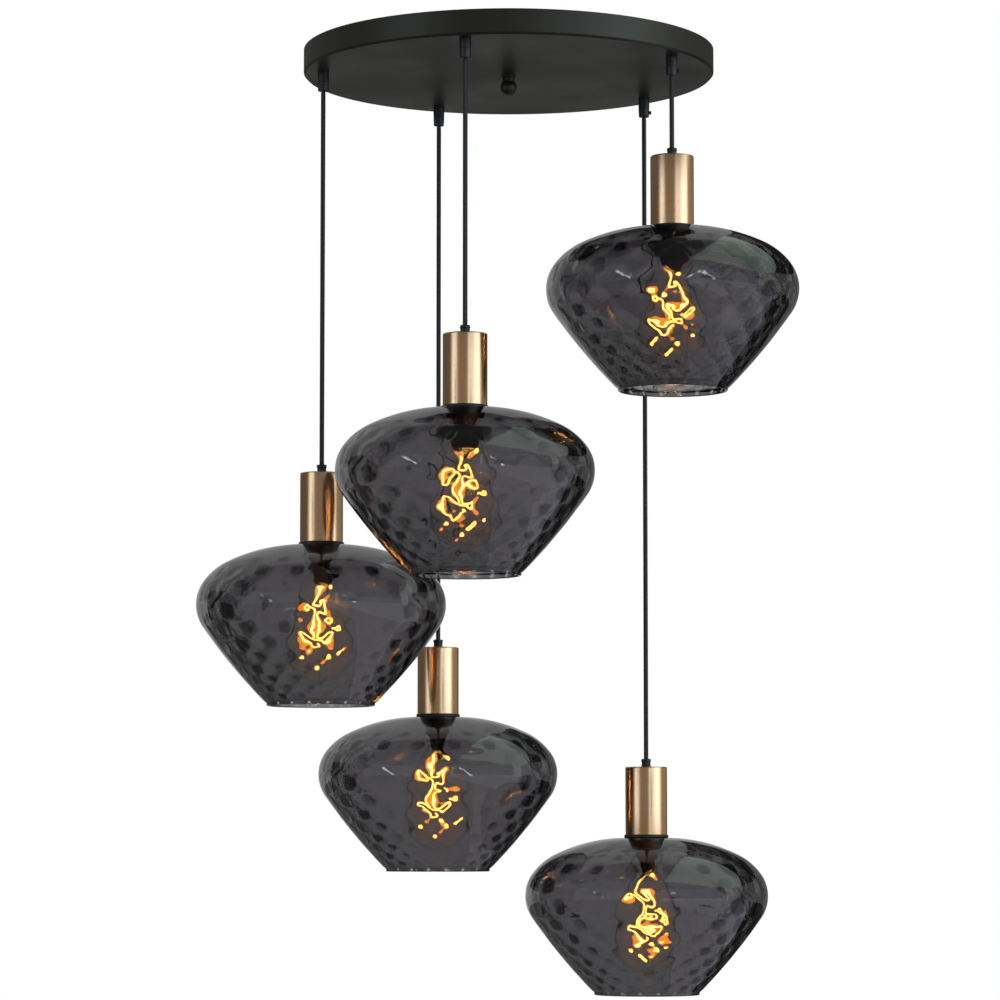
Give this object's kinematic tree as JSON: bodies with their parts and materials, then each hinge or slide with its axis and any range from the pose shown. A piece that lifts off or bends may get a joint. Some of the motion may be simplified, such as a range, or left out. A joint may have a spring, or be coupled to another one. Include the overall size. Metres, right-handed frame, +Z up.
{
  "type": "cluster pendant ceiling light",
  "caption": "Ceiling pan with smoked glass pendants on cords of stepped length, each with a brass cup and a filament bulb.",
  "frame": {"origin": "middle of the mounting bracket's top face, on the ceiling", "axes": "+Z up out of the ceiling, +X along the bracket to the right, +Y to the back"},
  "size_m": [0.5754, 0.583, 0.9195],
  "materials": {
    "black_metal": "satin black paint",
    "steel": "zinc-plated",
    "black_plastic": "black plastic",
    "terminal_plastic": "cream plastic",
    "cord_sleeve": "black cord sleeve",
    "brushed_brass": "brushed antique brass",
    "smoked_glass": "smoked glass with a dimpled optic pattern",
    "clear_glass": "clear",
    "cap_metal": "nickel-plated",
    "filament_metal": "glowing filament"
  },
  "bodies": {
    "ceiling": {"ceiling_plate": "black_metal", "mounting_bracket": "steel", "centre_stud": "steel", "lock_nuts": "steel", "plate_grips": "black_plastic", "grip_screws": "steel", "terminal_block": "terminal_plastic", "cord_tails": "cord_sleeve"},
    "washer": {"knob_washer": "black_metal"},
    "knob": {"ball_nut": "black_metal"},
    "neck_1": {"cord_neck_1": "cord_sleeve"},
    "line_1": {"cord_1": "cord_sleeve"},
    "pendant_1": {"cup_grip_1": "black_plastic", "holder_cup_1": "brushed_brass", "lampholder_1": "black_plastic", "shade_ring_1": "black_plastic", "glass_shade_1": "smoked_glass"},
    "bulb_1": {"bulb_glass_1": "clear_glass", "bulb_cap_1": "cap_metal", "filament_1": "filament_metal"},
    "neck_2": {"cord_neck_2": "cord_sleeve"},
    "line_2": {"cord_2": "cord_sleeve"},
    "pendant_2": {"cup_grip_2": "black_plastic", "holder_cup_2": "brushed_brass", "lampholder_2": "black_plastic", "shade_ring_2": "black_plastic", "glass_shade_2": "smoked_glass"},
    "bulb_2": {"bulb_glass_2": "clear_glass", "bulb_cap_2": "cap_metal", "filament_2": "filament_metal"},
    "neck_3": {"cord_neck_3": "cord_sleeve"},
    "line_3": {"cord_3": "cord_sleeve"},
    "pendant_3": {"cup_grip_3": "black_plastic", "holder_cup_3": "brushed_brass", "lampholder_3": "black_plastic", "shade_ring_3": "black_plastic", "glass_shade_3": "smoked_glass"},
    "bulb_3": {"bulb_glass_3": "clear_glass", "bulb_cap_3": "cap_metal", "filament_3": "filament_metal"},
    "neck_4": {"cord_neck_4": "cord_sleeve"},
    "line_4": {"cord_4": "cord_sleeve"},
    "pendant_4": {"cup_grip_4": "black_plastic", "holder_cup_4": "brushed_brass", "lampholder_4": "black_plastic", "shade_ring_4": "black_plastic", "glass_shade_4": "smoked_glass"},
    "bulb_4": {"bulb_glass_4": "clear_glass", "bulb_cap_4": "cap_metal", "filament_4": "filament_metal"},
    "neck_5": {"cord_neck_5": "cord_sleeve"},
    "line_5": {"cord_5": "cord_sleeve"},
    "pendant_5": {"cup_grip_5": "black_plastic", "holder_cup_5": "brushed_brass", "lampholder_5": "black_plastic", "shade_ring_5": "black_plastic", "glass_shade_5": "smoked_glass"},
    "bulb_5": {"bulb_glass_5": "clear_glass", "bulb_cap_5": "cap_metal", "filament_5": "filament_metal"}
  },
  "joints": [
    {"name": "knob_lower", "type": "slide", "parent": "ceiling", "child": "washer", "axis": [0, 0, -1], "range_m": [0, 0.01]},
    {"name": "knob_turn", "type": "hinge", "parent": "washer", "child": "knob", "pos_m": [0, 0, -0.03], "axis": [0, 0, -1], "range_deg": [0, 3600]},
    {"name": "swing_out_1", "type": "hinge", "parent": "ceiling", "child": "neck_1", "pos_m": [0.15515, -0.09322, -0.0445], "axis": [-0.515, -0.8572, 0], "range_deg": [-2, 20]},
    {"name": "swing_side_1", "type": "hinge", "parent": "neck_1", "child": "line_1", "pos_m": [0.15515, -0.09322, -0.0445], "axis": [0.8572, -0.515, 0], "range_deg": [-3, 3]},
    {"name": "height_1", "type": "slide", "parent": "line_1", "child": "pendant_1", "axis": [0, 0, 1], "range_m": [0, 0.045], "deforming": ["cord_1"]},
    {"name": "bulb_out_1", "type": "slide", "parent": "pendant_1", "child": "bulb_1", "axis": [0, 0, -1], "range_m": [0, 0.165]},
    {"name": "swing_out_2", "type": "hinge", "parent": "ceiling", "child": "neck_2", "pos_m": [-0.04072, -0.17636, -0.0445], "axis": [-0.9744, 0.225, 0], "range_deg": [-2, 20]},
    {"name": "swing_side_2", "type": "hinge", "parent": "neck_2", "child": "line_2", "pos_m": [-0.04072, -0.17636, -0.0445], "axis": [-0.225, -0.9744, 0], "range_deg": [-3, 3]},
    {"name": "height_2", "type": "slide", "parent": "line_2", "child": "pendant_2", "axis": [0, 0, 1], "range_m": [0, 0.105], "deforming": ["cord_2"]},
    {"name": "bulb_out_2", "type": "slide", "parent": "pendant_2", "child": "bulb_2", "axis": [0, 0, -1], "range_m": [0, 0.165]},
    {"name": "swing_out_3", "type": "hinge", "parent": "ceiling", "child": "neck_3", "pos_m": [-0.18031, -0.01578, -0.0445], "axis": [-0.0872, 0.9962, 0], "range_deg": [-2, 20]},
    {"name": "swing_side_3", "type": "hinge", "parent": "neck_3", "child": "line_3", "pos_m": [-0.18031, -0.01578, -0.0445], "axis": [-0.9962, -0.0872, 0], "range_deg": [-3, 3]},
    {"name": "height_3", "type": "slide", "parent": "line_3", "child": "pendant_3", "axis": [0, 0, 1], "range_m": [0, 0.048], "deforming": ["cord_3"]},
    {"name": "bulb_out_3", "type": "slide", "parent": "pendant_3", "child": "bulb_3", "axis": [0, 0, -1], "range_m": [0, 0.165]},
    {"name": "swing_out_4", "type": "hinge", "parent": "ceiling", "child": "neck_4", "pos_m": [-0.07072, 0.16661, -0.0445], "axis": [0.9205, 0.3907, 0], "range_deg": [-2, 20]},
    {"name": "swing_side_4", "type": "hinge", "parent": "neck_4", "child": "line_4", "pos_m": [-0.07072, 0.16661, -0.0445], "axis": [-0.3907, 0.9205, 0], "range_deg": [-3, 3]},
    {"name": "height_4", "type": "slide", "parent": "line_4", "child": "pendant_4", "axis": [0, 0, 1], "range_m": [0, 0.092], "deforming": ["cord_4"]},
    {"name": "bulb_out_4", "type": "slide", "parent": "pendant_4", "child": "bulb_4", "axis": [0, 0, -1], "range_m": [0, 0.165]},
    {"name": "swing_out_5", "type": "hinge", "parent": "ceiling", "child": "neck_5", "pos_m": [0.1366, 0.11875, -0.0445], "axis": [0.6561, -0.7547, 0], "range_deg": [-2, 20]},
    {"name": "swing_side_5", "type": "hinge", "parent": "neck_5", "child": "line_5", "pos_m": [0.1366, 0.11875, -0.0445], "axis": [0.7547, 0.6561, 0], "range_deg": [-3, 3]},
    {"name": "height_5", "type": "slide", "parent": "line_5", "child": "pendant_5", "axis": [0, 0, 1], "range_m": [0, 0.05], "deforming": ["cord_5"]},
    {"name": "bulb_out_5", "type": "slide", "parent": "pendant_5", "child": "bulb_5", "axis": [0, 0, -1], "range_m": [0, 0.165]}
  ],
  "couplings": [
    {"joint": "knob_turn", "follows": "knob_lower", "rad_per_m": 6283.2}
  ]
}
